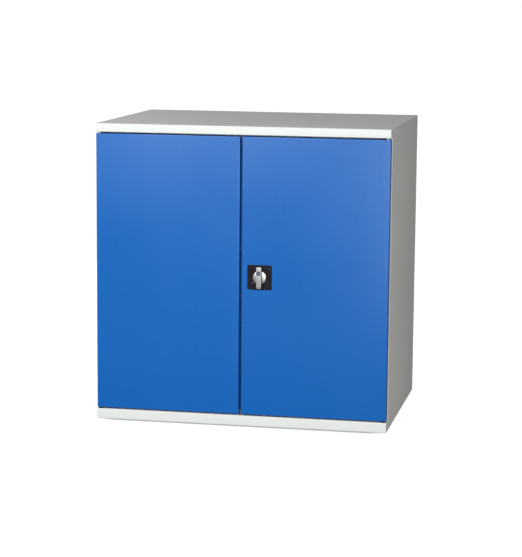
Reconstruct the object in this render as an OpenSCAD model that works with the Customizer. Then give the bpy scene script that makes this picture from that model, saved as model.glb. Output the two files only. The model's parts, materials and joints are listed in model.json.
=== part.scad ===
// Low steel cabinet with two hinged doors, a turning lock with two locking rods, and two shelves.
// X runs across the front, Y from front to back, Z up. The origin is on the floor, at the middle
// of the space that the whole cabinet takes up, the turning handle included.

/* [Housing] */
// Width over the side walls
body_w = 1005; // [900:5:1200]
// Depth from the front of the strips to the rear rivet heads
body_d = 736; // [640:2:900]
// Height from the floor to the top panel
body_h = 1019; // [960:1:1100]
// Sheet thickness of the housing
wall_t = 1.5; // [1.2:0.1:1.8]
// Height of the strip above the doors
top_strip_h = 29; // [26:0.5:32]
// Height of the strip below the doors
base_strip_h = 35; // [34:0.5:38]
// How far the side walls stand back from the front of the strips
side_setback = 38; // [37:0.5:42]
// Height of the cabinet floor above the ground
floor_z = 50; // [50:1:52]

/* [Doors] */
// Depth of a door, front face to rear lips
door_t = 30; // [25:0.5:31]
// Sheet thickness of the doors
skin_t = 1.2; // [1:0.1:1.2]
// Gap between the doors
centre_gap = 8.6; // [7:0.1:10]
// Offset of the centre gap towards the right
gap_x = -0.1; // [-3:0.1:3]
// Gap above the doors
gap_top = 5; // [3:0.1:6]
// Gap below the doors, which holds the pivot washers
gap_bottom = 5; // [3.2:0.1:6]
// How far the doors stand in from the ends of the strips
door_inset = 1; // [0.5:0.1:1.5]
// Distance from the side of the housing to a pivot pin
pivot_in = 11.5; // [11:0.1:12]
// Radius of a pivot pin
pin_r = 5; // [4:0.5:5]
// Radial play of the pins in their bushes
pin_play = 0.05; // [0.03:0.01:0.08]

/* [Lock] */
// Middle of the lock, right of the cabinet's middle
lock_x = 66; // [65:1:72]
// Height of the middle of the lock
lock_z = 513; // [480:1:540]
// Side of the square lock plate
plate_w = 84; // [80:1:90]
// Thickness of the lock plate
plate_t = 2.6; // [2:0.1:3]
// Radius of the round part of the handle
disc_r = 22.5; // [20:0.5:24]
// Length of the grip
grip_l = 74.5; // [70:0.5:76]
// Width of the grip
grip_w = 17.5; // [16:0.5:22]
// Reach of the grip in front of the doors
grip_reach = 19; // [15:0.5:22]
// Height of the key cylinder above the middle of the lock
key_up = 15; // [11:0.5:18]
// Radius of the key cylinder
key_r = 6.5; // [6:0.1:6.5]
// Teeth of the pinion
teeth = 12; // [12:12:12]
// Module of the pinion and racks
gear_m = 2; // [2:1:2]

/* [Inside] */
// Height of the lower shelf
shelf_low_z = 363; // [338:25:388]
// Height of the upper shelf
shelf_high_z = 688; // [638:25:738]
// Distance between the slots of the uprights
slot_pitch = 25; // [25:25:50]

/* [Hidden] */
$fn = 64;

paint = [0.89, 0.90, 0.89];
blue = [0.12, 0.36, 0.74];
zinc = [0.72, 0.73, 0.74];
black = [0.13, 0.12, 0.14];
silver = [0.80, 0.80, 0.79];
nylon = [0.86, 0.86, 0.82];

hw = body_w / 2;                       // half the width
t = wall_t;
back_y = body_d - 2.4;                 // outer face of the side walls' rear flange
y_shift = -(body_d - grip_reach) / 2;  // the front of the strips stands here
flange_x = hw - 24.5;                  // inner end of the side walls' flanges
door_z0 = base_strip_h + gap_bottom;
door_z1 = body_h - top_strip_h - gap_top;
rail_z = body_h - top_strip_h;         // underside of the top strip
left_x0 = -hw + door_inset;
left_x1 = gap_x - centre_gap / 2;
right_x0 = gap_x + centre_gap / 2;
right_x1 = hw - door_inset;
pivot_x = hw - pivot_in;
pivot_y = 11;
pitch_r = gear_m * teeth / 2;
travel = pitch_r * PI / 2;             // rod travel for a quarter turn of the handle
rod_r = 4;
rod_y = 11.5;
rod_out = 20.5;                        // from the lock's middle to a rod's middle
gear_y0 = 9;
gear_y1 = 14;
bolt_x = 440;
bolt_y = [76, 685];
web_x = hw - 21.5;                     // inner face of the uprights
upright_y = [84, 660];

// ---------- shape helpers ----------
function left_of(u) = [-u[1], u[0]];
function turned(v, a) = [v[0] * cos(a) - v[1] * sin(a), v[0] * sin(a) + v[1] * cos(a)];
function dir(a, b) = (b - a) / norm(b - a);
// One side of a folded sheet's section: the path's points, each corner bent at radius r
function fold_side(p, k, th, r, n) = concat(
  [p[0] + left_of(dir(p[0], p[1])) * k * th / 2],
  [for (i = [1 : len(p) - 2])
    let (u = dir(p[i - 1], p[i]), v = dir(p[i], p[i + 1]),
         s = sign(u[0] * v[1] - u[1] * v[0]),
         a = acos(max(-1, min(1, u * v))),
         c = p[i] - u * r * tan(a / 2) + left_of(u) * s * r)
    for (j = [0 : n]) c + turned(left_of(u) * -s, s * a * j / n) * (r - s * k * th / 2)],
  [p[len(p) - 1] + left_of(dir(p[len(p) - 2], p[len(p) - 1])) * k * th / 2]);
function reversed(l) = [for (i = [len(l) - 1 : -1 : 0]) l[i]];
module fold(p, th = t, r = 2, n = 6) {
  polygon(concat(fold_side(p, 1, th, r, n), reversed(fold_side(p, -1, th, r, n))));
}
function arc_pts(c, r, a0, a1, n) = [for (i = [0 : n]) c + r * [cos(a0 + (a1 - a0) * i / n), sin(a0 + (a1 - a0) * i / n)]];
// Rectangle with its own radius at each corner pair: r_low at the low-Y corners, r_high at the high-Y corners
function round_rect(x0, y0, x1, y1, r, n = 6) = concat(
  arc_pts([x0 + r, y0 + r], r, 180, 270, n), arc_pts([x1 - r, y0 + r], r, 270, 360, n),
  arc_pts([x1 - r, y1 - r], r, 0, 90, n), arc_pts([x0 + r, y1 - r], r, 90, 180, n));
// Rectangle with only its two low-Y corners rounded
function front_round(x0, y0, x1, y1, r, n = 6) = concat(
  arc_pts([x0 + r, y0 + r], r, 180, 270, n), arc_pts([x1 - r, y0 + r], r, 270, 360, n), [[x1, y1], [x0, y1]]);
// Rectangle with only its two low-X corners rounded
function left_round(x0, y0, x1, y1, r, n = 6) = concat(
  arc_pts([x0 + r, y1 - r], r, 90, 180, n), arc_pts([x0 + r, y0 + r], r, 180, 270, n), [[x1, y0], [x1, y1]]);
module box(a, b) { translate(a) cube(b - a); }
module placed() { translate([0, y_shift, 0]) children(); }
module along_x(x0, x1) { translate([x0, 0, 0]) rotate([90, 0, 90]) linear_extrude(x1 - x0) children(); }
module along_y(y0, y1) { translate([0, y1, 0]) rotate([90, 0, 0]) linear_extrude(y1 - y0) children(); }
module rod_along_y(x, z, y0, y1, r) { translate([x, y1, z]) rotate([90, 0, 0]) cylinder(h = y1 - y0, r = r); }
module upright_rod(x, y, z0, z1, r) { translate([x, y, z0]) cylinder(h = z1 - z0, r = r); }

// ---------- housing ----------
module side_wall(s) {
  color(paint) placed() mirror([s > 0 ? 0 : 1, 0, 0]) union() {
    linear_extrude(body_h - t)
      fold([[flange_x + t / 2, side_setback + 17], [flange_x + t / 2, side_setback + t / 2],
            [hw - t / 2, side_setback + t / 2], [hw - t / 2, back_y - t / 2], [flange_x, back_y - t / 2]], t, 3.25);
    box([flange_x, side_setback + t - 0.01, body_h - 2 * t], [hw - t + 0.01, back_y - t + 0.01, body_h - t]);
    box([flange_x, side_setback + t - 0.01, 0], [hw - t + 0.01, back_y - t + 0.01, t]);
  }
}
module side_wall_left() { side_wall(-1); }
module side_wall_right() { side_wall(1); }

function rivet_points() = concat(
  [for (s = [-1, 1]) for (i = [0 : 5]) [s * (hw - 12.5), 70 + i * 176]],
  [for (i = [-2 : 2]) [i * 200, body_h - 16]]);
module rear_wall() {
  color(paint) placed() difference() {
    along_y(back_y, back_y + 1.2) polygon(round_rect(-hw + 1, 2, hw - 1, body_h - t - 0.1, 3));
    for (p = rivet_points()) rod_along_y(p[0], p[1], back_y - 1, back_y + 2, 2.05);
  }
}
module rear_rivets() {
  color(zinc) placed() for (p = rivet_points()) union() {
    rod_along_y(p[0], p[1], back_y, back_y + 1.3, 2);
    translate([p[0], back_y + 1.2, p[1]]) rotate([-90, 0, 0]) cylinder(h = 1.2, r1 = 4, r2 = 2.4);
  }
}
module top_panel() {
  color(paint) placed() union() {
    along_y(side_setback, back_y + 1.2)
      polygon(concat(arc_pts([hw - 1.2, body_h - 1.2], 1.2, 0, 90, 4), arc_pts([-hw + 1.2, body_h - 1.2], 1.2, 90, 180, 4),
                     [[-hw, body_h - t], [hw, body_h - t]]));
    box([-flange_x + 1, back_y - t, body_h - 30], [flange_x - 1, back_y, body_h - t + 0.01]);
    box([-flange_x + 1, side_setback, body_h - 22], [flange_x - 1, side_setback + t, body_h - t + 0.01]);
  }
}
module top_stiffener() {
  color(paint) placed() along_x(-470, 470)
    fold([[330, body_h - 1.5 * t], [350, body_h - 1.5 * t], [350, body_h - 18.5], [410, body_h - 18.5],
          [410, body_h - 1.5 * t], [430, body_h - 1.5 * t]], t, 2);
}
module top_front_rail() {
  zt = body_h - t / 2; zb = rail_z + t / 2; yb = side_setback - t / 2;
  color(paint) placed() difference() {
    union() {
      along_x(-hw + t, hw - t)
        fold([[yb, rail_z - 15.5], [yb, zb], [t / 2, zb], [t / 2, zt], [yb, zt], [yb, zt - 9]], t, 2);
      for (s = [-1, 1]) along_x(s > 0 ? hw - t : -hw, s > 0 ? hw : -hw + t)
        polygon(left_round(0, rail_z, side_setback, body_h, 2.75));
    }
    for (s = [-1, 1]) {
      box([s > 0 ? 465 : -hw - 1, side_setback - 2.5, rail_z - 20], [s > 0 ? hw + 1 : -465, side_setback + 1, rail_z - 0.01]);
      upright_rod(s * pivot_x, pivot_y, rail_z - 1, rail_z + 2 * t, pin_r + 0.05);
    }
    upright_rod(lock_x - rod_out, rod_y, rail_z - 1, rail_z + 2 * t, 6.5);
  }
}
module base_front_rail() {
  zt = base_strip_h - t / 2; yb = side_setback - t / 2;
  color(paint) placed() difference() {
    union() {
      along_x(-hw + t, hw - t)
        fold([[yb, 11], [yb, t / 2], [t / 2, t / 2], [t / 2, zt], [yb, zt], [yb, zt - 9]], t, 2);
      for (s = [-1, 1]) along_x(s > 0 ? hw - t : -hw, s > 0 ? hw : -hw + t)
        polygon(left_round(0, 0, side_setback, base_strip_h, 2.75));
    }
    for (s = [-1, 1]) upright_rod(s * pivot_x, pivot_y, base_strip_h - 2 * t, base_strip_h + 1, pin_r + 0.05);
    upright_rod(lock_x + rod_out, rod_y, base_strip_h - 2 * t, base_strip_h + 1, 6.5);
  }
}
module floor_pan() {
  z1 = floor_z; x1 = hw - t - 0.1; y1 = back_y - t - 0.2; xf = flange_x - 0.6; y0 = side_setback;
  color(paint) placed() difference() {
    union() {
      along_x(-xf, xf) fold([[y0 + t / 2, 6], [y0 + t / 2, z1 - t / 2], [y1 - t / 2, z1 - t / 2], [y1 - t / 2, 6]], t, 2);
      for (s = [-1, 1]) mirror([s > 0 ? 0 : 1, 0, 0]) translate([0, y1 - 3, 0]) rotate([90, 0, 0]) linear_extrude(y1 - y0 - 21)
        fold([[xf - 1, z1 - t / 2], [x1 - t / 2, z1 - t / 2], [x1 - t / 2, 6]], t, 2);
    }
    for (s = [-1, 1]) for (y = bolt_y) upright_rod(s * bolt_x, y, z1 - 3 * t, z1 + 1, 12.1);
  }
}
module floor_plugs() {
  color(black) placed() for (s = [-1, 1]) for (y = bolt_y) union() {
    upright_rod(s * bolt_x, y, floor_z - 5, floor_z + 0.3, 12);
    upright_rod(s * bolt_x, y, floor_z, floor_z + 1.6, 15);
  }
}
module floor_stiffener() {
  zt = floor_z - 1.5 * t;
  color(paint) placed() along_y(62, 700)
    fold([[-50, zt], [-30, zt], [-30, t / 2], [30, t / 2], [30, zt], [50, zt]], t, 2);
}
module base_corner_plates() {
  color(zinc) placed() for (s = [-1, 1]) for (y = bolt_y) difference() {
    box([s > 0 ? 405 : -hw + t, max(y - 44, side_setback + 17.6), t], [s > 0 ? hw - t : -405, y + 44, t + 3]);
    upright_rod(s * bolt_x, y, 0, 8, 6.5);
  }
}
module upright(s, y) {
  color(zinc) placed() mirror([s > 0 ? 0 : 1, 0, 0]) difference() {
    translate([0, 0, floor_z + 0.2]) linear_extrude(body_h - 30 - floor_z)
      fold([[hw - t - 0.05, y - 13], [web_x + t / 2, y - 13], [web_x + t / 2, y + 13], [hw - t - 0.05, y + 13]], t, 2);
    for (z = [75 : slot_pitch : body_h - 40]) box([web_x - 1, y - 5, z - 2], [web_x + t + 1, y + 5, z + 2]);
  }
}
module upright_front_left() { upright(-1, upright_y[0]); }
module upright_front_right() { upright(1, upright_y[0]); }
module upright_rear_left() { upright(-1, upright_y[1]); }
module upright_rear_right() { upright(1, upright_y[1]); }
module shelf(z) {
  th = 1.2; x1 = web_x - 4; y0 = 62; y1 = 716;
  color(paint) placed() union() {
    along_x(-x1, x1)
      fold([[y0 + 12, z - 29.4], [y0 + th / 2, z - 29.4], [y0 + th / 2, z - th / 2], [y1 - th / 2, z - th / 2],
            [y1 - th / 2, z - 29.4], [y1 - 12, z - 29.4]], th, 1.8);
    for (s = [-1, 1]) box([s > 0 ? x1 - th : -x1, y0 + 3, z - 30], [s > 0 ? x1 : -x1 + th, y1 - 3, z - th / 2]);
  }
}
module shelf_lower() { shelf(shelf_low_z); }
module shelf_upper() { shelf(shelf_high_z); }
module shelf_clips() {
  color(zinc) placed() for (s = [-1, 1]) for (y = upright_y) for (z = [shelf_low_z, shelf_high_z])
    mirror([s > 0 ? 0 : 1, 0, 0]) union() {
      box([web_x - 2.1, y - 8, z - 46], [web_x - 0.1, y + 8, z - 18]);
      box([web_x - 19, y - 8, z - 32.1], [web_x - 1, y + 8, z - 30.1]);
      box([web_x - 1, y - 4.5, z - 39.6], [web_x + t + 2, y + 4.5, z - 36.4]);
      box([web_x + t + 0.4, y - 4.5, z - 43], [web_x + t + 2, y + 4.5, z - 36.4]);
    }
}
module hinge_pins() {
  color(zinc) placed() for (s = [-1, 1]) {
    union() {
      upright_rod(s * pivot_x, pivot_y, door_z1 - 15, rail_z + t + 4, pin_r);
      upright_rod(s * pivot_x, pivot_y, rail_z + t, rail_z + t + 3, 8.5);
    }
    union() {
      upright_rod(s * pivot_x, pivot_y, base_strip_h - t - 4, door_z0 + 15, pin_r);
      upright_rod(s * pivot_x, pivot_y, base_strip_h - t - 3, base_strip_h - t, 8.5);
    }
  }
}
module pivot_washers() {
  color(black) placed() for (s = [-1, 1]) difference() {
    upright_rod(s * pivot_x, pivot_y, base_strip_h, door_z0 - 0.3, 9);
    upright_rod(s * pivot_x, pivot_y, base_strip_h - 1, door_z0 + 1, pin_r + 0.06);
  }
}
module rod_keeper_top() {
  x = lock_x - rod_out;
  color(zinc) placed() difference() {
    box([x - 20, 3, rail_z + t], [x + 20, 20, rail_z + t + 3]);
    upright_rod(x, rod_y, rail_z, rail_z + 8, 6);
  }
}
module rod_keeper_bottom() {
  x = lock_x + rod_out;
  color(zinc) placed() difference() {
    box([x - 20, 3, base_strip_h - t - 3], [x + 20, 20, base_strip_h - t]);
    upright_rod(x, rod_y, base_strip_h - 8, base_strip_h, 6);
  }
}
module door_buffers() {
  color(black) placed() for (x = [-430, -90, 110, 430]) {
    rod_along_y(x, rail_z - 9.5, door_t + 0.4, side_setback - t, 4);
    rod_along_y(x, floor_z - 5.5, door_t + 0.4, side_setback, 4);
  }
}
module magnet_catch_case() {
  color(nylon) placed() difference() {
    box([-62, door_t + 1.5, rail_z - 14], [-22, side_setback - t, rail_z - 3.5]);
    box([-56, door_t + 1, rail_z - 11], [-28, side_setback - t - 0.8, rail_z - 6.5]);
  }
}
module catch_magnet() {
  color(zinc) placed() box([-55.9, door_t + 1.2, rail_z - 10.9], [-28.1, side_setback - t - 0.9, rail_z - 6.6]);
}

// ---------- doors ----------
module door_tray(x0, x1) {
  s = skin_t; r = 2.6;
  difference() {
    intersection() {
      translate([0, 0, door_z0]) linear_extrude(door_z1 - door_z0) polygon(front_round(x0, 0, x1, door_t, r));
      along_x(x0, x1) polygon(left_round(0, door_z0, door_t, door_z1, r));
    }
    intersection() {
      translate([0, 0, door_z0 + s]) linear_extrude(door_z1 - door_z0 - 2 * s)
        polygon(front_round(x0 + s, s, x1 - s, door_t - s, r - s));
      along_x(x0 + s, x1 - s) polygon(left_round(s, door_z0 + s, door_t - s, door_z1 - s, r - s));
    }
    box([x0 + 14, door_t - 2 * s, door_z0 + 14], [x1 - 14, door_t + 1, door_z1 - 14]);
  }
}
module pivot_holes(s, r) {
  upright_rod(s * pivot_x, pivot_y, door_z1 - 2 * skin_t, door_z1 + 1, r);
  upright_rod(s * pivot_x, pivot_y, door_z0 - 1, door_z0 + 2 * skin_t, r);
}
module hat(x) {
  translate([0, 0, door_z0 + 20]) linear_extrude(door_z1 - door_z0 - 40)
    fold([[x - 46, skin_t + 0.5], [x - 28, skin_t + 0.5], [x - 24, 18], [x + 24, 18], [x + 28, skin_t + 0.5], [x + 46, skin_t + 0.5]], 1, 1.6);
}
module pivot_blocks(s) {
  for (z = [door_z0 + skin_t, door_z1 - skin_t - 17]) difference() {
    box([s * pivot_x - 8, 3, z], [s * pivot_x + 8, 19, z + 17]);
    upright_rod(s * pivot_x, pivot_y, z - 1, z + 18, 7.05);
  }
}
module bushes(s) {
  for (z = [door_z0, door_z1 - skin_t - 17]) difference() {
    upright_rod(s * pivot_x, pivot_y, z, z + 17 + skin_t, 7);
    upright_rod(s * pivot_x, pivot_y, z - 1, z + 20, pin_r + pin_play);
  }
}
module door_left_skin() {
  color(blue) placed() difference() { door_tray(left_x0, left_x1); pivot_holes(-1, 7.05); }
}
module door_left_stiffener() { color(blue) placed() hat((left_x0 + left_x1) / 2); }
module door_left_centre_strip() {
  color(blue) placed() box([left_x1 - 13, door_t, door_z0 + 16], [right_x0 - 0.9, door_t + 1, door_z1 - 16]);
}
module door_left_pivot_blocks() { color(zinc) placed() pivot_blocks(-1); }
module door_left_bushes() { color(black) placed() bushes(-1); }
module catch_strike() {
  color(zinc) placed() box([-58, door_t, rail_z - 14.5], [-26, door_t + 0.8, rail_z - 5.5]);
}
module door_right_skin() {
  color(blue) placed() difference() {
    door_tray(right_x0, right_x1);
    pivot_holes(1, 7.05);
    rod_along_y(lock_x, lock_z, -1, 3, 7);
    for (s = [-1, 1]) rod_along_y(lock_x + s * 31, lock_z + s * 31, -1, 3, 2.55);
    upright_rod(lock_x - rod_out, rod_y, door_z1 - 2 * skin_t, door_z1 + 1, rod_r + 0.4);
    upright_rod(lock_x + rod_out, rod_y, door_z0 - 1, door_z0 + 2 * skin_t, rod_r + 0.4);
  }
}
module door_right_stiffener() { color(blue) placed() hat((right_x0 + right_x1) / 2 + 20); }
module door_right_pivot_blocks() { color(zinc) placed() pivot_blocks(1); }
module door_right_bushes() { color(black) placed() bushes(1); }

// ---------- lock ----------
module lock_plate() {
  a = plate_w / 2;
  color(black) placed() difference() {
    union() {
      along_y(-1.6, 0) polygon(round_rect(lock_x - a, lock_z - a, lock_x + a, lock_z + a, 5.5, 8));
      along_y(-plate_t, -1.59) polygon(round_rect(lock_x - a + 0.9, lock_z - a + 0.9, lock_x + a - 0.9, lock_z + a - 0.9, 4.6, 8));
      for (s = [-1, 1]) rod_along_y(lock_x + s * 31, lock_z + s * 31, -0.5, skin_t + 2.2, 2.5);
    }
    rod_along_y(lock_x, lock_z, -plate_t - 1, 1, disc_r + 0.4);
  }
}
case_x0 = lock_x - 39; case_x1 = lock_x + 39; case_z0 = lock_z - 52; case_z1 = lock_z + 52;
function case_corners() = [for (i = [-1, 1]) for (j = [-1, 1]) [lock_x + i * 34, lock_z + j * 47]];
module lock_case() {
  color(zinc) placed() difference() {
    union() {
      difference() {
        box([case_x0, skin_t, case_z0], [case_x1, 19, case_z1]);
        box([case_x0 + 1.5, skin_t + 1.5, case_z0 + 1.5], [case_x1 - 1.5, 20, case_z1 - 1.5]);
      }
      for (c = case_corners()) rod_along_y(c[0], c[1], skin_t + 1, 19, 4.2);
    }
    for (c = case_corners()) rod_along_y(c[0], c[1], 6, 20, 2.05);
    rod_along_y(lock_x, lock_z, 0, 4, 6.06);
    for (s = [-1, 1]) rod_along_y(lock_x + s * 31, lock_z + s * 31, 0, 4, 2.55);
    upright_rod(lock_x - rod_out, rod_y, case_z1 - 3, case_z1 + 1, rod_r + 0.4);
    upright_rod(lock_x + rod_out, rod_y, case_z0 - 1, case_z0 + 3, rod_r + 0.4);
  }
}
module lock_cover() {
  color(zinc) placed() difference() {
    along_y(19.05, 20.5) polygon(round_rect(case_x0, case_z0, case_x1, case_z1, 3));
    rod_along_y(lock_x, lock_z, 18, 22, 6.06);
    for (c = case_corners()) rod_along_y(c[0], c[1], 18, 22, 2.05);
  }
}
module lock_screws() {
  color(zinc) placed() for (c = case_corners()) difference() {
    union() {
      rod_along_y(c[0], c[1], 8, 20.6, 2);
      rod_along_y(c[0], c[1], 20.5, 22.6, 3.6);
    }
    translate([c[0], 24, c[1]]) rotate([90, 30, 0]) cylinder(h = 2.8, r = 1.7, $fn = 6);
  }
}
module rod_guides() {
  color(zinc) placed() {
    for (z = [640, 790, 940]) rod_guide(lock_x - rod_out, z);
    for (z = [80, 230, 380]) rod_guide(lock_x + rod_out, z);
  }
}
module rod_guide(x, z) {
  difference() {
    union() {
      box([x - 9, skin_t, z], [x + 9, 18.5, z + 3]);
      box([x - 9, skin_t, z - 12], [x + 9, skin_t + 2, z + 1]);
    }
    upright_rod(x, rod_y, z - 1, z + 4, rod_r + 0.3);
  }
}
// The pinion's section: involute flanks above the base circle, straight below it
base_r = pitch_r * cos(20);
half_pitch = (PI * gear_m / 2 - 0.34) / (2 * pitch_r) * 180 / PI;
function inv_deg(r) = let (u = sqrt(max(0, (r / base_r) * (r / base_r) - 1))) u * 180 / PI - atan(u);
function flank(r) = half_pitch + inv_deg(pitch_r) - inv_deg(r);
function polar(r, a) = [r * cos(a), r * sin(a)];
tip_r = pitch_r + gear_m * 0.92;
root_r = pitch_r - gear_m * 0.86;
flank_r = [base_r, base_r + 0.45, base_r + 1.0, base_r + 1.6, base_r + 2.1, tip_r];
module gear_section() {
  polygon([for (i = [0 : teeth - 1]) let (a = i * 360 / teeth) each concat(
    [polar(root_r, a - flank(base_r) - 1)], [for (r = flank_r) polar(r, a - flank(r))],
    [for (k = [5 : -1 : 0]) polar(flank_r[k], a + flank(flank_r[k]))], [polar(root_r, a + flank(base_r) + 1)])]);
}
module lock_pinion() {
  color(zinc) placed() difference() {
    along_y(gear_y0, gear_y1) translate([lock_x, lock_z]) gear_section();
    rod_along_y(lock_x, lock_z, 5, 18, 6.02);
  }
}
// A rack's toothed edge, from its root line towards the pinion, about the height of the pinion's middle
rack_tip = pitch_r - 1.3;
rack_root = pitch_r + 2.3;
rack_half = (PI * gear_m - 0.34 * 2) / 4;
module rack_section(lo, hi, back) {
  // drawn with the pinion's middle at the origin and the rack to the left
  p = PI * gear_m;
  w = p / 2 - rack_half;               // half a tooth space at the pitch line
  k20 = tan(20);
  difference() {
    square_between([-back, lo], [-rack_tip, hi]);
    for (k = [floor(lo / p) - 1 : ceil(hi / p) + 1]) let (z = k * p)
      polygon([[-rack_root, z - w + 2.3 * k20], [-rack_root, z + w - 2.3 * k20],
               [-rack_tip + 1, z + w + 2.3 * k20], [-rack_tip + 1, z - w - 2.3 * k20]]);
  }
}
module square_between(a, b) { translate(a) square(b - a); }
module locking_rod() {
  // The upper rod, with the lock's middle at the origin
  union() {
    along_y(gear_y0 + 0.2, gear_y1 - 0.2) rack_section(-travel - 14, 14, 25.5);
    upright_rod(-rod_out, rod_y, 9, door_z1 - lock_z - 3, rod_r);
    translate([-rod_out, rod_y, door_z1 - lock_z - 3.01]) cylinder(h = 2.5, r1 = rod_r, r2 = rod_r - 1.6);
  }
}
module rod_top() { color(zinc) placed() translate([lock_x, 0, lock_z]) locking_rod(); }
module rod_bottom() {
  dz = (lock_z - door_z0) - (door_z1 - lock_z);
  color(zinc) placed() translate([lock_x, 0, lock_z]) rotate([0, 180, 0]) union() {
    along_y(gear_y0 + 0.2, gear_y1 - 0.2) rack_section(-travel - 14, 14, 25.5);
    upright_rod(-rod_out, rod_y, 9, lock_z - door_z0 - 3, rod_r);
    translate([-rod_out, rod_y, lock_z - door_z0 - 3.01]) cylinder(h = 2.5, r1 = rod_r, r2 = rod_r - 1.6);
  }
}
module turning_handle() {
  a = grip_w / 2; b = grip_l / 2;
  color(silver) placed() difference() {
    union() {
      rod_along_y(lock_x, lock_z, -5.6, -0.4, disc_r);
      along_y(-grip_reach + 1.2, -3.4) polygon(round_rect(lock_x - a, lock_z - b, lock_x + a, lock_z + b, 5, 8));
      along_y(-grip_reach, -grip_reach + 1.21) polygon(round_rect(lock_x - a + 1, lock_z - b + 1, lock_x + a - 1, lock_z + b - 1, 4, 8));
    }
    rod_along_y(lock_x, lock_z + key_up, -grip_reach - 1, -1.8, key_r + 0.08);
  }
}
module handle_spindle() { color(zinc) placed() rod_along_y(lock_x, lock_z, -0.4, 23.4, 6); }
module spindle_clip() {
  color(zinc) placed() difference() {
    rod_along_y(lock_x, lock_z, 20.9, 21.9, 9.5);
    rod_along_y(lock_x, lock_z, 20, 23, 6.02);
  }
}
module key_plug() {
  color(silver) placed() difference() {
    rod_along_y(lock_x, lock_z + key_up, -grip_reach + 0.4, -2, key_r);
    box([lock_x - 0.9, -grip_reach - 1, lock_z + key_up - 3.6], [lock_x + 0.9, -6, lock_z + key_up + 3.6]);
  }
}

side_wall_left();
side_wall_right();
rear_wall();
top_panel();
top_stiffener();
top_front_rail();
base_front_rail();
floor_pan();
floor_stiffener();
base_corner_plates();
floor_plugs();
upright_front_left();
upright_front_right();
upright_rear_left();
upright_rear_right();
shelf_lower();
shelf_upper();
shelf_clips();
hinge_pins();
pivot_washers();
rod_keeper_top();
rod_keeper_bottom();
door_buffers();
magnet_catch_case();
catch_magnet();
rear_rivets();
door_left_skin();
door_left_stiffener();
door_left_centre_strip();
door_left_pivot_blocks();
door_left_bushes();
catch_strike();
door_right_skin();
door_right_stiffener();
door_right_pivot_blocks();
door_right_bushes();
lock_plate();
lock_case();
lock_cover();
lock_screws();
rod_guides();
turning_handle();
handle_spindle();
lock_pinion();
spindle_clip();
key_plug();
rod_top();
rod_bottom();
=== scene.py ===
import json
import math
import bpy
import bmesh
from mathutils import Matrix, Vector


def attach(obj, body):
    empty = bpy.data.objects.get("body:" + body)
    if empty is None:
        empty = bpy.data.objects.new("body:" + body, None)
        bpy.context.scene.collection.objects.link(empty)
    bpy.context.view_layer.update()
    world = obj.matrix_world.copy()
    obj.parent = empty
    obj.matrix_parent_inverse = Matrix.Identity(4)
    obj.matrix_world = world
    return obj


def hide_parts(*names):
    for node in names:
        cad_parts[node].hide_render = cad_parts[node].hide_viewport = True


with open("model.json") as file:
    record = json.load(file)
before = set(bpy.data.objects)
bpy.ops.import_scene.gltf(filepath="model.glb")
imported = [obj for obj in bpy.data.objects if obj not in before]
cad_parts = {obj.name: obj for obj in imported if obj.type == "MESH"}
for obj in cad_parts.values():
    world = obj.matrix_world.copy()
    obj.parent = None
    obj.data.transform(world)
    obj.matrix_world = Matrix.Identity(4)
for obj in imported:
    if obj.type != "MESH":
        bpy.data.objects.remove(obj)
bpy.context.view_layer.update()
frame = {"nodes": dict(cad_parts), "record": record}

scene = bpy.context.scene
NODES = frame["nodes"]
MM = 0.001
Y0 = -0.3585               # the front of the strips and doors
LOCK = (0.066, 0.513)      # x and z of the middle of the lock


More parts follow.
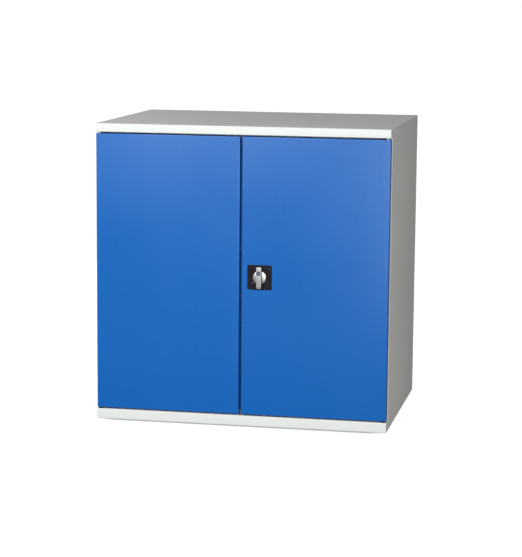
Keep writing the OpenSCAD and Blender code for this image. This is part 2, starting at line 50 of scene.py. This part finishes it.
# ---------------------------------------------------------------- material helpers
class Nodes:
    """A short way to write a material's node tree."""

    def __init__(self, name):
        self.mat = bpy.data.materials.new(name)
        self.mat.use_nodes = True
        self.tree = self.mat.node_tree
        self.tree.nodes.clear()
        self.out = self.tree.nodes.new("ShaderNodeOutputMaterial")
        self.bsdf = self.tree.nodes.new("ShaderNodeBsdfPrincipled")
        self.link(self.bsdf.outputs["BSDF"], self.out.inputs["Surface"])
        self.coord = self.tree.nodes.new("ShaderNodeTexCoord").outputs["Object"]

    def link(self, a, b):
        self.tree.links.new(a, b)

    def set(self, **values):
        for key, value in values.items():
            self.bsdf.inputs[key.replace("_", " ")].default_value = value

    def mapped(self, scale, rotation=(0, 0, 0)):
        node = self.tree.nodes.new("ShaderNodeMapping")
        node.inputs["Scale"].default_value = scale
        node.inputs["Rotation"].default_value = rotation
        self.link(self.coord, node.inputs["Vector"])
        return node.outputs["Vector"]

    def noise(self, scale, detail=2.0, rough=0.5, vector=None, distortion=0.0):
        node = self.tree.nodes.new("ShaderNodeTexNoise")
        node.inputs["Scale"].default_value = scale
        node.inputs["Detail"].default_value = detail
        node.inputs["Roughness"].default_value = rough
        node.inputs["Distortion"].default_value = distortion
        self.link(vector or self.coord, node.inputs["Vector"])
        return node.outputs["Fac"]

    def cells(self, scale, vector=None, feature="F1"):
        node = self.tree.nodes.new("ShaderNodeTexVoronoi")
        node.feature = feature
        node.inputs["Scale"].default_value = scale
        self.link(vector or self.coord, node.inputs["Vector"])
        return node.outputs["Distance"]

    def remap(self, value, lo, hi, out_lo, out_hi):
        node = self.tree.nodes.new("ShaderNodeMapRange")
        node.inputs["From Min"].default_value = lo
        node.inputs["From Max"].default_value = hi
        node.inputs["To Min"].default_value = out_lo
        node.inputs["To Max"].default_value = out_hi
        self.link(value, node.inputs["Value"])
        return node.outputs["Result"]

    def mix(self, factor, a, b):
        node = self.tree.nodes.new("ShaderNodeMix")
        node.data_type = "RGBA"
        self.link(factor, node.inputs[0])
        for socket, value in ((node.inputs[6], a), (node.inputs[7], b)):
            if isinstance(value, (tuple, list)):
                socket.default_value = (*value, 1)
            else:
                self.link(value, socket)
        return node.outputs[2]

    def add(self, a, b, weight=1.0):
        node = self.tree.nodes.new("ShaderNodeMath")
        node.operation = "MULTIPLY_ADD"
        self.link(b, node.inputs[0])
        node.inputs[1].default_value = weight
        self.link(a, node.inputs[2])
        return node.outputs[0]

    def times(self, a, b):
        node = self.tree.nodes.new("ShaderNodeMath")
        node.operation = "MULTIPLY"
        self.link(a, node.inputs[0])
        self.link(b, node.inputs[1])
        return node.outputs[0]

    def edges(self, radius, lo=0.995, hi=0.93):
        """1 near the corners of the shape, 0 on its flats."""
        soft = self.tree.nodes.new("ShaderNodeBevel")
        soft.samples = 4
        soft.inputs["Radius"].default_value = radius
        geo = self.tree.nodes.new("ShaderNodeNewGeometry")
        dot = self.tree.nodes.new("ShaderNodeVectorMath")
        dot.operation = "DOT_PRODUCT"
        self.link(soft.outputs["Normal"], dot.inputs[0])
        self.link(geo.outputs["True Normal"], dot.inputs[1])
        return self.remap(dot.outputs["Value"], lo, hi, 0.0, 1.0)

    def bump(self, height, distance, strength=1.0):
        node = self.tree.nodes.new("ShaderNodeBump")
        node.inputs["Strength"].default_value = strength
        node.inputs["Distance"].default_value = distance
        self.link(height, node.inputs["Height"])
        self.link(node.outputs["Normal"], self.bsdf.inputs["Normal"])


def tint(colour, k):
    return tuple(min(1.0, c * k) for c in colour)


def powder_coat(name, colour, rough=0.42, specular=0.5, peel=0.00005, speck=0.05, worn_and_lit_edge=(0.5, 0.5, 0.5), edge_wear_and_sheen=0.3, sway=6.0):
    """Fine-textured powder coat: orange peel a few millimetres across, a grain finer than that, faint cloudiness,
    the slow sway of thin sheet, and a lighter tone along the folded edges, partly a thinner, rubbed coat and partly a
    painted highlight."""
    m = Nodes(name)
    cloud = m.noise(3.2, 3.0, 0.55)
    fleck = m.noise(900.0, 1.0, 0.5)
    tone = m.mix(m.remap(cloud, 0.3, 0.7, 0.0, 1.0), tint(colour, 0.985), tint(colour, 1.012))
    tone = m.mix(m.remap(fleck, 0.25, 0.75, 0.0, speck), tone, tint(colour, 0.78))
    # the folded edges turn lighter: partly a thinner, rubbed coat, partly a painted highlight on the bends
    edge_wear_and_highlight = m.times(m.edges(0.004), m.remap(m.noise(14.0, 4.0, 0.65), 0.25, 0.75, 0.3 * edge_wear_and_sheen, edge_wear_and_sheen))
    tone = m.mix(edge_wear_and_highlight, tone, worn_and_lit_edge)
    m.link(tone, m.bsdf.inputs["Base Color"])
    streak = m.noise(1.0, 3.0, 0.6, vector=m.mapped((9.0, 9.0, 1.6)))
    r = m.add(m.remap(cloud, 0.3, 0.7, rough - 0.02, rough + 0.02), m.remap(streak, 0.35, 0.7, -0.5, 0.5), 0.035)
    r = m.add(r, m.remap(fleck, 0.2, 0.8, -0.5, 0.5), 0.05)
    r = m.add(r, edge_wear_and_highlight, -0.12)
    m.link(r, m.bsdf.inputs["Roughness"])
    coarse = m.noise(330.0, 1.5, 0.45)
    fine = m.noise(1300.0, 1.0, 0.5)
    m.bump(m.add(m.add(coarse, fine, 0.35), m.noise(4.0, 1.0, 0.4), sway), peel, 1.0)
    m.set(Specular_IOR_Level=specular)
    return m.mat


def plated(name, colour, rough=0.34, warm=(0.74, 0.70, 0.60), amount=0.25, along=(1.0, 1.0, 0.06)):
    """Bright zinc plating: drawn grain along the part, patches of passivation, a little dulling."""
    m = Nodes(name)
    m.set(Metallic=1.0)
    patch = m.noise(24.0, 3.0, 0.6, distortion=0.6)
    m.link(m.mix(m.remap(patch, 0.42, 0.75, 0.0, amount), colour, warm), m.bsdf.inputs["Base Color"])
    grain = m.noise(900.0, 2.0, 0.6, vector=m.mapped(along))
    m.link(m.add(m.remap(patch, 0.3, 0.8, rough - 0.05, rough + 0.09), m.remap(grain, 0.3, 0.7, -0.5, 0.5), 0.10),
           m.bsdf.inputs["Roughness"])
    m.bump(m.add(grain, m.noise(2200.0, 1.0), 0.3), 0.000012, 1.0)
    return m.mat


def moulded(name, colour, rough=0.45, grain=1500.0, depth=0.00002, specular=0.5):
    """Moulded plastic with a fine spark-eroded grain."""
    m = Nodes(name)
    cell = m.cells(grain)
    soft = m.noise(60.0, 3.0, 0.55)
    m.link(m.mix(m.remap(soft, 0.3, 0.7, 0.0, 1.0), tint(colour, 0.92), tint(colour, 1.10)), m.bsdf.inputs["Base Color"])
    m.link(m.add(m.remap(soft, 0.3, 0.7, rough - 0.05, rough + 0.05), cell, 0.08), m.bsdf.inputs["Roughness"])
    m.bump(m.add(cell, m.noise(grain * 0.6, 2.0), 0.6), depth, 1.0)
    m.set(Specular_IOR_Level=specular)
    return m.mat


def cast_satin(name, colour, rough=0.30, grain_axis=(1.0, 1.0, 0.05), flank_shade=None):
    """Die-cast metal with a satin plating: fine linishing lines along the grip and slight unevenness of the casting.
    The flank colour is a very dark painted shade for the grip's side faces and the disc just beside the grip, marked
    by the mesh's own attribute."""
    m = Nodes(name)
    m.set(Metallic=1.0)
    lines = m.noise(2600.0, 2.0, 0.65, vector=m.mapped(grain_axis))
    cast = m.noise(160.0, 2.5, 0.5)
    tone = m.mix(m.remap(lines, 0.25, 0.75, 0.0, 1.0), tint(colour, 0.93), tint(colour, 1.05))
    # painted shade: where the mesh attribute is set, the colour turns near-black
    if flank_shade:
        flank_shade_attr = m.tree.nodes.new("ShaderNodeAttribute")
        flank_shade_attr.attribute_name = "flank_shade_paint"
        tone = m.mix(m.remap(m.add(flank_shade_attr.outputs["Fac"], m.noise(420.0, 2.0), 0.25), 0.18, 1.0, 0.0, 1.0), tone, flank_shade)
    m.link(tone, m.bsdf.inputs["Base Color"])
    m.link(m.add(m.remap(cast, 0.3, 0.7, rough - 0.04, rough + 0.05), m.remap(lines, 0.3, 0.7, -0.5, 0.5), 0.12),
           m.bsdf.inputs["Roughness"])
    m.bump(m.add(m.remap(lines, 0.0, 1.0, 0.0, 0.25), cast, 1.0), 0.00003, 1.0)
    return m.mat


M = {
    "housing_paint": powder_coat("pale_grey_powder_coat", (0.638, 0.641, 0.630), rough=0.50, specular=0.42, worn_and_lit_edge=(0.66, 0.67, 0.66), edge_wear_and_sheen=0.35),
    "door_paint": powder_coat("blue_powder_coat", (0.0010, 0.0985, 0.384), rough=0.30, speck=0.06, worn_and_lit_edge=(0.045, 0.150, 0.400), edge_wear_and_sheen=0.5, sway=9.0),
    "zinc_plated_steel": plated("zinc_plated_steel", (0.60, 0.61, 0.62)),
    "black_plastic": moulded("black_moulded_plastic", (0.0065, 0.0046, 0.0091), rough=0.38, specular=0.22),
    # the satin casting carries a near-black painted shade colour on the grip's flanks
    "satin_handle_metal": cast_satin("satin_die_casting", (0.675, 0.655, 0.645), rough=0.38, flank_shade=(0.045, 0.048, 0.062)),
    "key_plug_metal": cast_satin("nickel_key_cylinder", (0.70, 0.68, 0.60), rough=0.24, grain_axis=(1.0, 1.0, 1.0)),
    "pale_nylon": moulded("natural_nylon", (0.70, 0.70, 0.63), rough=0.5, grain=700.0),
    "black_rubber": moulded("black_rubber", (0.025, 0.025, 0.026), rough=0.75, grain=500.0, depth=0.00005, specular=0.35),
    "magnet_pole_steel": plated("ground_pole_steel", (0.33, 0.33, 0.34), rough=0.30, amount=0.1, along=(0.06, 1.0, 1.0)),
}
# a dark slate ring in the key plug's recess: partly a plastic dust shutter, partly painted shade of the recess
M["shutter_plastic"] = moulded("slate_shutter_and_recess_shade", (0.045, 0.062, 0.130), rough=0.42, grain=1200.0)
M["mark_paint"] = moulded("pale_mark_paint", (0.16, 0.19, 0.27), rough=0.5, grain=900.0)


# ---------------------------------------------------------------- geometry helpers
def smooth_group():
    """Joins a CAD mesh's split points and smooths its shading across shallow angles."""
    g = bpy.data.node_groups.new("smooth_shallow_angles", "GeometryNodeTree")
    g.interface.new_socket("Geometry", in_out="INPUT", socket_type="NodeSocketGeometry")
    g.interface.new_socket("Geometry", in_out="OUTPUT", socket_type="NodeSocketGeometry")
    n = g.nodes
    start, end = n.new("NodeGroupInput"), n.new("NodeGroupOutput")
    weld = n.new("GeometryNodeMergeByDistance")
    weld.inputs["Distance"].default_value = 0.000002
    angle = n.new("GeometryNodeInputMeshEdgeAngle")
    less = n.new("FunctionNodeCompare")
    less.data_type = "FLOAT"
    less.operation = "LESS_THAN"
    less.inputs[1].default_value = math.radians(32)
    faces = n.new("GeometryNodeSetShadeSmooth")
    faces.domain = "FACE"
    faces.inputs["Shade Smooth"].default_value = True
    edges = n.new("GeometryNodeSetShadeSmooth")
    edges.domain = "EDGE"
    g.links.new(start.outputs[0], weld.inputs["Geometry"])
    g.links.new(weld.outputs["Geometry"], faces.inputs["Geometry"])
    g.links.new(faces.outputs["Geometry"], edges.inputs["Geometry"])
    g.links.new(angle.outputs["Unsigned Angle"], less.inputs[0])
    g.links.new(less.outputs["Result"], edges.inputs["Shade Smooth"])
    g.links.new(edges.outputs["Geometry"], end.inputs[0])
    return g


SMOOTH = smooth_group()


def smooth_cad(obj):
    mod = obj.modifiers.new("smooth", "NODES")
    mod.node_group = SMOOTH


def to_object(name, bm, material, angle=35, recalc=True):
    if recalc:
        bmesh.ops.recalc_face_normals(bm, faces=bm.faces)
    mesh = bpy.data.meshes.new(name)
    bm.to_mesh(mesh)
    bm.free()
    for p in mesh.polygons:
        p.use_smooth = True
    mesh.set_sharp_from_angle(angle=math.radians(angle))
    mesh.materials.append(material)
    obj = bpy.data.objects.new(name, mesh)
    scene.collection.objects.link(obj)
    return obj


def applied(obj):
    """Bakes an object's modifiers into its mesh."""
    bpy.context.view_layer.update()
    dg = bpy.context.evaluated_depsgraph_get()
    mesh = bpy.data.meshes.new_from_object(obj.evaluated_get(dg))
    old = obj.data
    obj.modifiers.clear()
    obj.data = mesh
    bpy.data.meshes.remove(old)
    return obj


def cut(obj, cutter):
    mod = obj.modifiers.new("cut", "BOOLEAN")
    mod.operation = "DIFFERENCE"
    mod.solver = "EXACT"
    mod.object = cutter
    applied(obj)
    mesh = cutter.data
    bpy.data.objects.remove(cutter)
    bpy.data.meshes.remove(mesh)


def lathe(name, profile, centre, material, steps=72, angle=35):
    """Turns (radius, y) points about the axis along Y through centre (x, z)."""
    bm = bmesh.new()
    rings = []
    for r, y in profile:
        if r < 1e-7:
            rings.append([bm.verts.new((centre[0], y, centre[1]))])
        else:
            rings.append([bm.verts.new((centre[0] + r * math.cos(2 * math.pi * i / steps), y,
                                        centre[1] + r * math.sin(2 * math.pi * i / steps))) for i in range(steps)])
    for a, b in zip(rings, rings[1:]):
        for i in range(steps):
            j = (i + 1) % steps
            if len(a) == 1 and len(b) == 1:
                continue
            if len(a) == 1:
                bm.faces.new((a[0], b[i], b[j]))
            elif len(b) == 1:
                bm.faces.new((a[i], b[0], a[j]))
            else:
                bm.faces.new((a[i], b[i], b[j], a[j]))
    if len(rings[0]) > 1:
        bm.faces.new(rings[0])
    if len(rings[-1]) > 1:
        bm.faces.new(list(reversed(rings[-1])))
    return to_object(name, bm, material, angle)


def rounded(w, h, r, n=10, cx=0.0, cz=0.0):
    """A rectangle w by h with corner radius r, as (x, z) points."""
    pts = []
    for qx, qz, a0 in ((1, 1, 0), (-1, 1, 90), (-1, -1, 180), (1, -1, 270)):
        for i in range(n + 1):
            a = math.radians(a0 + 90 * i / n)
            pts.append((cx + qx * (w / 2 - r) + r * math.cos(a), cz + qz * (h / 2 - r) + r * math.sin(a)))
    return pts


def stack(name, layers, material, angle=35):
    """Joins closed outlines [(y, points)] of equal length into one closed body."""
    bm = bmesh.new()
    rings = [[bm.verts.new((x, y, z)) for x, z in pts] for y, pts in layers]
    n = len(rings[0])
    for a, b in zip(rings, rings[1:]):
        for i in range(n):
            j = (i + 1) % n
            bm.faces.new((a[i], b[i], b[j], a[j]))
    bm.faces.new(rings[0])
    bm.faces.new(list(reversed(rings[-1])))
    return to_object(name, bm, material, angle)


# ---------------------------------------------------------------- CAD nodes: materials and smoothing
SLOT_OF = {s["node"]: s["material_slot"] for s in frame["record"]["subparts"]}
for name, obj in NODES.items():
    material = M[SLOT_OF[name]]
    obj.data.materials.clear()
    obj.data.materials.append(material)
    smooth_cad(obj)

# ---------------------------------------------------------------- lock plate
lx, lz = LOCK
A = 0.084


def plate_ring(inset, r):
    return rounded(A - 2 * inset, A - 2 * inset, r, 12, lx, lz)


plate = stack("lock_plate_moulding", [
    (Y0 + 0.0, plate_ring(0.0, 0.0055)),
    (Y0 - 0.0012, plate_ring(0.0, 0.0055)),
    (Y0 - 0.0019, plate_ring(0.0003, 0.0053)),
    (Y0 - 0.0024, plate_ring(0.0009, 0.0050)),
    (Y0 - 0.0026, plate_ring(0.0016, 0.0046)),
    (Y0 - 0.0026, plate_ring(0.0034, 0.0036)),
    (Y0 - 0.0024, plate_ring(0.0039, 0.0033)),
    (Y0 - 0.0020, plate_ring(0.0042, 0.0030)),
], M["black_plastic"])
hole = lathe("hole", [(0.0229, Y0 - 0.01), (0.0229, Y0 + 0.002)], LOCK, M["black_plastic"], 96)
cut(plate, hole)
for p in plate.data.polygons:
    p.use_smooth = True
plate.data.set_sharp_from_angle(angle=math.radians(35))
collar = lathe("lock_plate_collar", [
    (0.0229, Y0 - 0.0018), (0.0229, Y0 - 0.0024), (0.0231, Y0 - 0.0026), (0.0246, Y0 - 0.0026), (0.0252, Y0 - 0.0024),
    (0.0256, Y0 - 0.0019)], LOCK, M["black_plastic"], 96)
marks = []
for name, x, z, w, h, turn in (("lock_mark_dot", 0.0335, 0.0290, 0.0026, 0.0026, 0), ("lock_mark_dash", -0.0226, -0.0190, 0.0070, 0.0015, -46)):
    pts = [(math.cos(math.radians(turn)) * a - math.sin(math.radians(turn)) * b + lx + x,
            math.sin(math.radians(turn)) * a + math.cos(math.radians(turn)) * b + lz + z)
           for a, b in rounded(w, h, min(w, h) / 2 - 1e-5, 6)]
    marks.append(stack(name, [(Y0 - 0.0019, pts), (Y0 - 0.00215, pts)], M["mark_paint"]))
for piece in (plate, collar, *marks):
    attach(piece, "door_right")
    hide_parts("lock_plate")

# ---------------------------------------------------------------- turning handle
KEY = (lx, lz + 0.015)
REACH = 0.019


def grip_layers(levels):
    """The grip, seen from the front a rounded bar; each level is (y, growth of the outline)."""
    return [(Y0 + y, rounded(0.0172 + 2 * g, 0.0742 + 2 * g, 0.0048 + g, 14, lx, lz)) for y, g in levels]


def joined(a, b):
    mod = a.modifiers.new("join", "BOOLEAN")
    mod.operation = "UNION"
    mod.solver = "EXACT"
    mod.object = b
    applied(a)
    mesh = b.data
    bpy.data.objects.remove(b)
    bpy.data.meshes.remove(mesh)


handle = stack("turning_handle_casting", grip_layers([
    (-0.0034, 0.00015), (-0.0080, 0.00010), (-0.0150, 0.0), (-0.0182, 0.0), (-0.0187, -0.0003),
    (-0.0189, -0.0009)]), M["satin_handle_metal"])
joined(handle, lathe("disc", [
    (0.0, Y0 - 0.0004), (0.0224, Y0 - 0.0004), (0.0224, Y0 - 0.0034), (0.0221, Y0 - 0.0040), (0.0213, Y0 - 0.00445),
    (0.0195, Y0 - 0.0049), (0.0165, Y0 - 0.0055), (0.0125, Y0 - 0.0061), (0.0080, Y0 - 0.0065), (0.0, Y0 - 0.0067)],
    LOCK, M["satin_handle_metal"], 96))
remesh = handle.modifiers.new("remesh", "REMESH")
remesh.mode = "VOXEL"
remesh.voxel_size = 0.00032
remesh.adaptivity = 0.0
soften = handle.modifiers.new("soften", "SMOOTH")
soften.iterations = 2
soften.factor = 0.5
applied(handle)
for v in handle.data.vertices:
    # the front of the grip is crowned along its length and a little across it
    depth = min(1.0, max(0.0, (Y0 - v.co.y - 0.0075) / 0.0105))
    along = (v.co.z - lz) / 0.0371
    across = (v.co.x - lx) / 0.0086
    v.co.y += depth * ((0.0026 if along < 0 else 0.0003) * along * along + 0.00025 * across * across)
cut(handle, lathe("bore", [(0.0, Y0 - 0.03), (0.0076, Y0 - 0.03), (0.0076, Y0 - 0.0184), (0.0066, Y0 - 0.0174), (0.0066, Y0 - 0.0022),
                           (0.0, Y0 - 0.0022)], KEY, M["satin_handle_metal"], 72))
# painted shade: the grip's side faces and the disc within about 1.6 mm of them are marked dark, standing for the shade
# beside the raised grip
flank_shade_attr = handle.data.attributes.new("flank_shade_paint", "FLOAT", "POINT")
for v in handle.data.vertices:
    gap = max(abs(v.co.x - lx) - 0.0086, abs(v.co.z - lz) - 0.0371)       # distance outside the grip's outline
    if v.co.y < Y0 - 0.0070:
        painted_shade = 0.95 if gap > -0.0004 and v.co.y > Y0 - 0.0180 else 0.0    # its flanks, painted in shade
    else:
        painted_shade = max(0.0, 0.95 - max(0.0, gap) / 0.0016) if gap > -0.0010 else 0.0
    flank_shade_attr.data[v.index].value = painted_shade
for poly in handle.data.polygons:
    poly.use_smooth = True
handle.data.set_sharp_from_angle(angle=math.radians(50))
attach(handle, "handle")
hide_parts("turning_handle")

# ---------------------------------------------------------------- key cylinder
plug = lathe("key_plug_core", [
    (0.0, Y0 - 0.0020), (0.0064, Y0 - 0.0020), (0.0064, Y0 - 0.0150),
    (0.0036, Y0 - 0.0150), (0.0036, Y0 - 0.0178), (0.0032, Y0 - 0.0182), (0.0, Y0 - 0.0183)], KEY, M["key_plug_metal"], 72)
slot_pts = rounded(0.0013, 0.0054, 0.0005, 4, KEY[0], KEY[1])
cut(plug, stack("slit", [(Y0 - 0.03, slot_pts), (Y0 - 0.008, slot_pts)], M["key_plug_metal"]))
for poly in plug.data.polygons:
    poly.use_smooth = True
plug.data.set_sharp_from_angle(angle=math.radians(35))
# the dark ring in the plug's recess is partly a plastic shutter and partly painted shade of the recess
shutter_and_shade = lathe("key_plug_ring", [(0.0064, Y0 - 0.0149), (0.0064, Y0 - 0.0170), (0.0061, Y0 - 0.0173), (0.0040, Y0 - 0.0173),
                                  (0.0037, Y0 - 0.0170), (0.0037, Y0 - 0.0149)], KEY, M["shutter_plastic"], 72)
for piece in (plug, shutter_and_shade):
    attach(piece, "key")
    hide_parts("key_plug")

# ---------------------------------------------------------------- stage, light and camera
floor_mesh = bpy.data.meshes.new("floor")
S = 60.0
floor_mesh.from_pydata([(-S, -S, -0.0004), (S, -S, -0.0004), (S, S, -0.0004), (-S, S, -0.0004)], [], [(0, 1, 2, 3)])
floor = bpy.data.objects.new("floor", floor_mesh)
scene.collection.objects.link(floor)
fm = bpy.data.materials.new("pale_floor")
fm.use_nodes = True
ft = fm.node_tree
fb = ft.nodes["Principled BSDF"]
fb.inputs["Base Color"].default_value = (0.25, 0.25, 0.25, 1)
fb.inputs["Roughness"].default_value = 0.9
fb.inputs["Specular IOR Level"].default_value = 0.1
path = ft.nodes.new("ShaderNodeLightPath")
glow = ft.nodes.new("ShaderNodeMath")
glow.operation = "MULTIPLY"
glow.inputs[1].default_value = 0.92


def floor_range(value, lo, hi, out_lo, out_hi):
    node = ft.nodes.new("ShaderNodeMapRange")
    for key, number in (("From Min", lo), ("From Max", hi), ("To Min", out_lo), ("To Max", out_hi)):
        node.inputs[key].default_value = number
    ft.links.new(value, node.inputs["Value"])
    return node.outputs["Result"]


def floor_math(operation, a, b=None):
    node = ft.nodes.new("ShaderNodeMath")
    node.operation = operation
    for socket, value in zip(node.inputs, (a, b)):
        if isinstance(value, float):
            socket.default_value = value
        elif value is not None:
            ft.links.new(value, socket)
    return node.outputs[0]


# painted contact shadow: the thin dark line where the base strip meets the floor is drawn by dimming the floor's
# camera-ray glow with ambient occlusion, at the front only
near = ft.nodes.new("ShaderNodeAmbientOcclusion")
near.samples = 8
near.inputs["Distance"].default_value = 0.030
spot = ft.nodes.new("ShaderNodeSeparateXYZ")
ft.links.new(ft.nodes.new("ShaderNodeNewGeometry").outputs["Position"], spot.inputs[0])
painted_shade = floor_range(near.outputs["AO"], 0.50, 0.97, 0.85, 0.0)
painted_shade = floor_math("MULTIPLY", painted_shade, floor_range(floor_math("ABSOLUTE", spot.outputs["X"]), 0.440, 0.500, 1.0, 0.0))
painted_shade = floor_math("MULTIPLY", painted_shade, floor_range(spot.outputs["Y"], -0.3500, -0.3580, 0.0, 1.0))
seen = ft.nodes.new("ShaderNodeMath")
seen.operation = "MULTIPLY"
ft.links.new(path.outputs["Is Camera Ray"], seen.inputs[0])
ft.links.new(floor_math("SUBTRACT", 1.0, painted_shade), seen.inputs[1])
ft.links.new(seen.outputs[0], glow.inputs[0])
fb.inputs["Emission Color"].default_value = (1, 1, 1, 1)
ft.links.new(glow.outputs[0], fb.inputs["Emission Strength"])
floor_mesh.materials.append(fm)

world = bpy.data.worlds.new("studio")
scene.world = world
world.use_nodes = True
wt = world.node_tree
wt.nodes.clear()
w_out = wt.nodes.new("ShaderNodeOutputWorld")
w_mix = wt.nodes.new("ShaderNodeMixShader")
w_path = wt.nodes.new("ShaderNodeLightPath")
w_soft = wt.nodes.new("ShaderNodeBackground")
w_soft.inputs["Color"].default_value = (1.0, 0.995, 0.975, 1)
w_soft.inputs["Strength"].default_value = 0.06
w_seen = wt.nodes.new("ShaderNodeBackground")
w_seen.inputs["Color"].default_value = (1, 1, 1, 1)
w_seen.inputs["Strength"].default_value = 1.0
wt.links.new(w_path.outputs["Is Camera Ray"], w_mix.inputs[0])
wt.links.new(w_soft.outputs[0], w_mix.inputs[1])
wt.links.new(w_seen.outputs[0], w_mix.inputs[2])
wt.links.new(w_mix.outputs[0], w_out.inputs["Surface"])


def sun(name, towards, strength, angle, colour=(1, 1, 1)):
    """A soft far light; towards is the direction from the cabinet to the light."""
    data = bpy.data.lights.new(name, "SUN")
    data.energy = strength
    data.angle = math.radians(angle)
    data.color = colour
    obj = bpy.data.objects.new(name, data)
    obj.rotation_mode = "QUATERNION"
    obj.rotation_quaternion = Vector(towards).to_track_quat("Z", "Y")
    scene.collection.objects.link(obj)
    return obj


def softbox(name, place, aim, size, power, colour=(1, 1, 1)):
    data = bpy.data.lights.new(name, "AREA")
    data.shape = "RECTANGLE"
    data.size, data.size_y = size
    data.energy = power
    data.color = colour
    obj = bpy.data.objects.new(name, data)
    obj.location = place
    obj.rotation_mode = "QUATERNION"
    obj.rotation_quaternion = (Vector(place) - Vector(aim)).to_track_quat("Z", "Y")
    scene.collection.objects.link(obj)
    return obj


def from_angles(azimuth, elevation):
    a, e = math.radians(azimuth), math.radians(elevation)
    return (math.sin(a) * math.cos(e), -math.cos(a) * math.cos(e), math.sin(e))


WARM, COOL = (1.0, 0.992, 0.955), (0.920, 0.998, 0.988)
sun("right_front", from_angles(36, 20), 1.25, 30, WARM)
sun("front", from_angles(20, 20), 0.98, 26, (1.0, 0.992, 0.985))
sun("left_front", from_angles(-65, 22), 0.30, 90)
sun("back_top", from_angles(200, 45), 0.14, 60, WARM)
sun("back_left", from_angles(230, 8), 0.80, 70)
sun("back_right", from_angles(140, 8), 0.16, 70, WARM)
softbox("high_box", (-1.25, -3.7, 2.6), (0.0, -0.36, 0.5), (1.4, 1.0), 60.5, COOL)
softbox("long_box", (-0.55, -2.86, 1.6), (0.0, -0.36, 0.9), (2.0, 0.35), 17.8, COOL)
softbox("left_box", (-0.95, -2.86, 1.2), (-0.3, -0.36, 0.9), (0.9, 0.35), 2.4)
softbox("low_box", (-0.55, -2.86, 0.85), (0.0, -0.36, 0.7), (2.0, 0.25), 3.0)
softbox("upright_box", (0.62, -2.86, 0.8), (0.4, -0.36, 0.7), (0.35, 1.6), 8.6, COOL)
softbox("rear_box", (-0.75, 3.4, 0.50), (0.0, 0.38, 0.50), (2.2, 0.8), 10.0)

cam_data = bpy.data.cameras.new("camera")
cam_data.sensor_width = 36.0
cam_data.sensor_fit = "AUTO"
cam_data.lens = 1916.746 / 557 * 36.0
cam_data.clip_start, cam_data.clip_end = 0.05, 200.0
camera = bpy.data.objects.new("camera", cam_data)
scene.collection.objects.link(camera)
right = Vector((0.9803038, 0.1973428, 0.0077604))
down = Vector((0.0376615, -0.1482220, -0.9882367))
ahead = Vector((-0.1938712, 0.9690645, -0.1527348))
rot = Matrix((right, -down, -ahead)).transposed()
camera.matrix_world = Matrix.Translation(Vector((1.318994, -6.596940, 1.492999))) @ rot.to_4x4()
scene.camera = camera

scene.view_settings.view_transform = "Standard"
scene.view_settings.look = "None"
scene.view_settings.exposure = 0.0
scene.view_settings.gamma = 1.0
